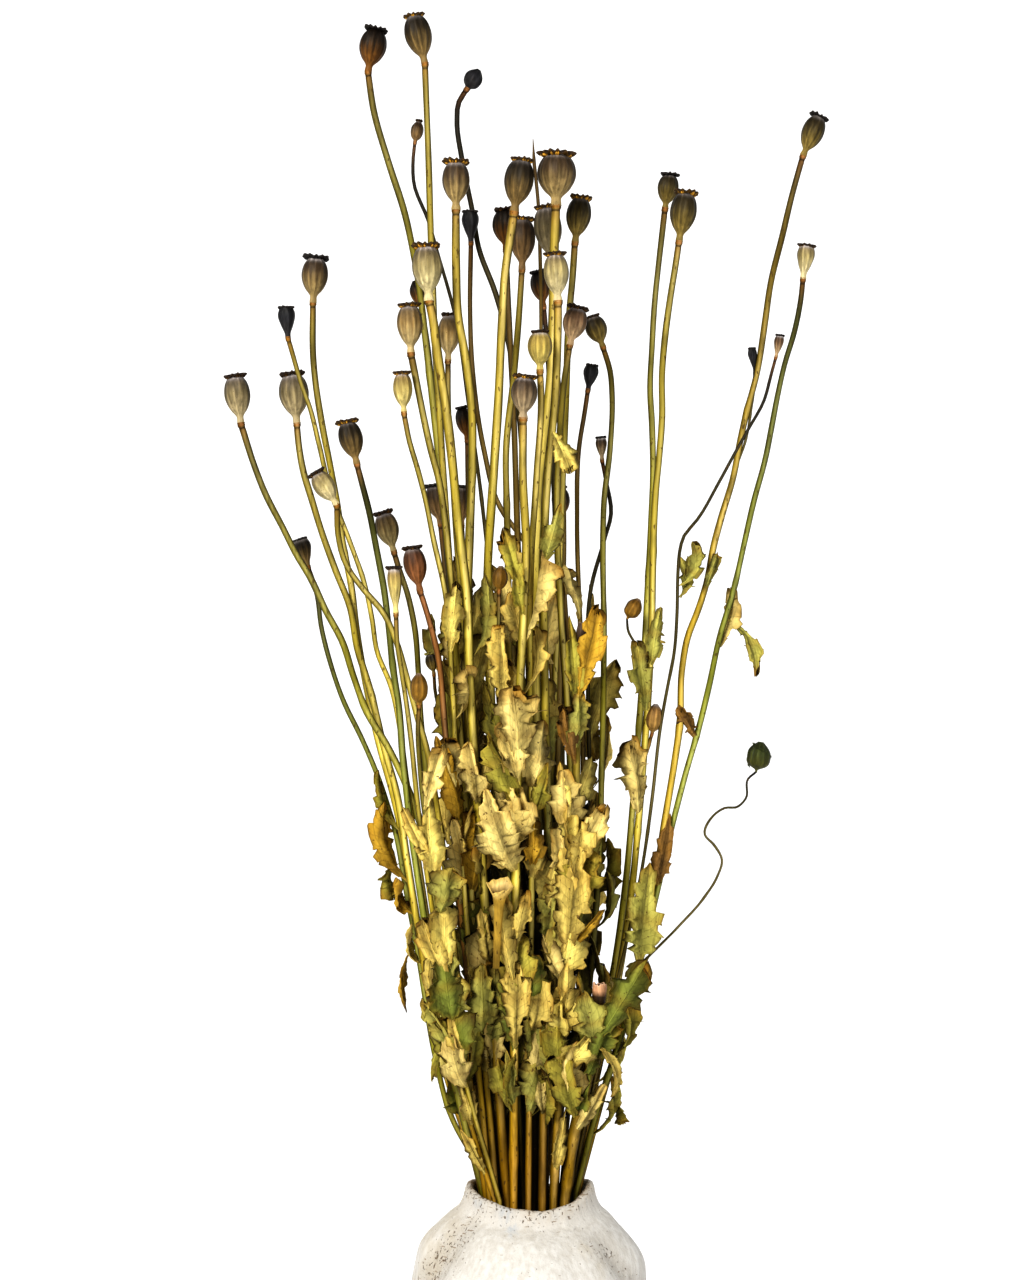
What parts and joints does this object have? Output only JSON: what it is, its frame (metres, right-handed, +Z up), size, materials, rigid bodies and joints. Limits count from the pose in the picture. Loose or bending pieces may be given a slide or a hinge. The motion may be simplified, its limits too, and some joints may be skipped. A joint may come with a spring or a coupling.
{
  "type": "vase of dried poppy seed heads",
  "caption": "Bunch of dried poppy seed heads on leafy stalks, standing loose in a folded white ceramic vase.",
  "frame": {"origin": "centre of the vase's foot, on the surface it stands on", "axes": "+Z up along the vase's axis; the front of the bunch faces -Y and +X is to its right"},
  "size_m": [0.4557, 0.2043, 1.0886],
  "materials": {
    "ceramic": "matte",
    "tan_stalk": "matte",
    "pale_stalk": "matte",
    "green_stalk": "matte",
    "dark_stalk": "matte"
  },
  "bodies": {
    "root": {"vase": "ceramic", "stalk_tall_left": "tan_stalk", "stalk_tallest": "tan_stalk", "stalk_black_globe": "dark_stalk", "stalk_small_bud_high": "tan_stalk", "stalk_golden_crown_left": "pale_stalk", "stalk_black_urn": "dark_stalk", "stalk_golden_crown_middle": "pale_stalk", "stalk_dark_behind_middle": "dark_stalk", "stalk_brown_middle": "tan_stalk", "stalk_largest": "tan_stalk", "stalk_grey_behind_largest": "tan_stalk", "stalk_olive_right_of_largest": "green_stalk", "stalk_bare_spike": "tan_stalk", "stalk_pale_front": "pale_stalk", "stalk_dark_far_back": "dark_stalk", "stalk_pale_shoulder": "pale_stalk", "stalk_dark_small_left": "dark_stalk", "stalk_tan_left": "tan_stalk", "stalk_rosy_left": "tan_stalk", "stalk_grey_right": "tan_stalk", "stalk_nodding_right": "dark_stalk", "stalk_lime_front": "green_stalk", "stalk_black_urn_right": "dark_stalk", "stalk_brown_front": "tan_stalk", "stalk_small_yellow_left": "pale_stalk", "stalk_grey_cup_right": "tan_stalk", "stalk_flat_crown_left": "tan_stalk", "stalk_black_urn_left": "dark_stalk", "stalk_farthest_left": "tan_stalk", "stalk_grey_far_left": "tan_stalk", "stalk_dark_ribbed_left": "dark_stalk", "stalk_pale_leaning_left": "pale_stalk", "stalk_dark_cup_left": "dark_stalk", "stalk_freckled_left": "tan_stalk", "stalk_russet_left": "tan_stalk", "stalk_long_cup_left": "tan_stalk", "stalk_olive_behind_left": "green_stalk", "stalk_brown_behind_left": "tan_stalk", "stalk_brown_behind_left_second": "tan_stalk", "stalk_ochre_bud_middle": "pale_stalk", "stalk_brown_behind_right": "tan_stalk", "stalk_ochre_bud_left": "pale_stalk", "stalk_small_green_left": "green_stalk", "stalk_dark_tall_right": "dark_stalk", "stalk_golden_crown_right": "pale_stalk", "stalk_olive_far_right": "green_stalk", "stalk_pale_cup_far_right": "pale_stalk", "stalk_thread_right": "green_stalk", "stalk_broken_tube": "tan_stalk", "stalk_cut_tube": "tan_stalk"}
  },
  "joints": []
}
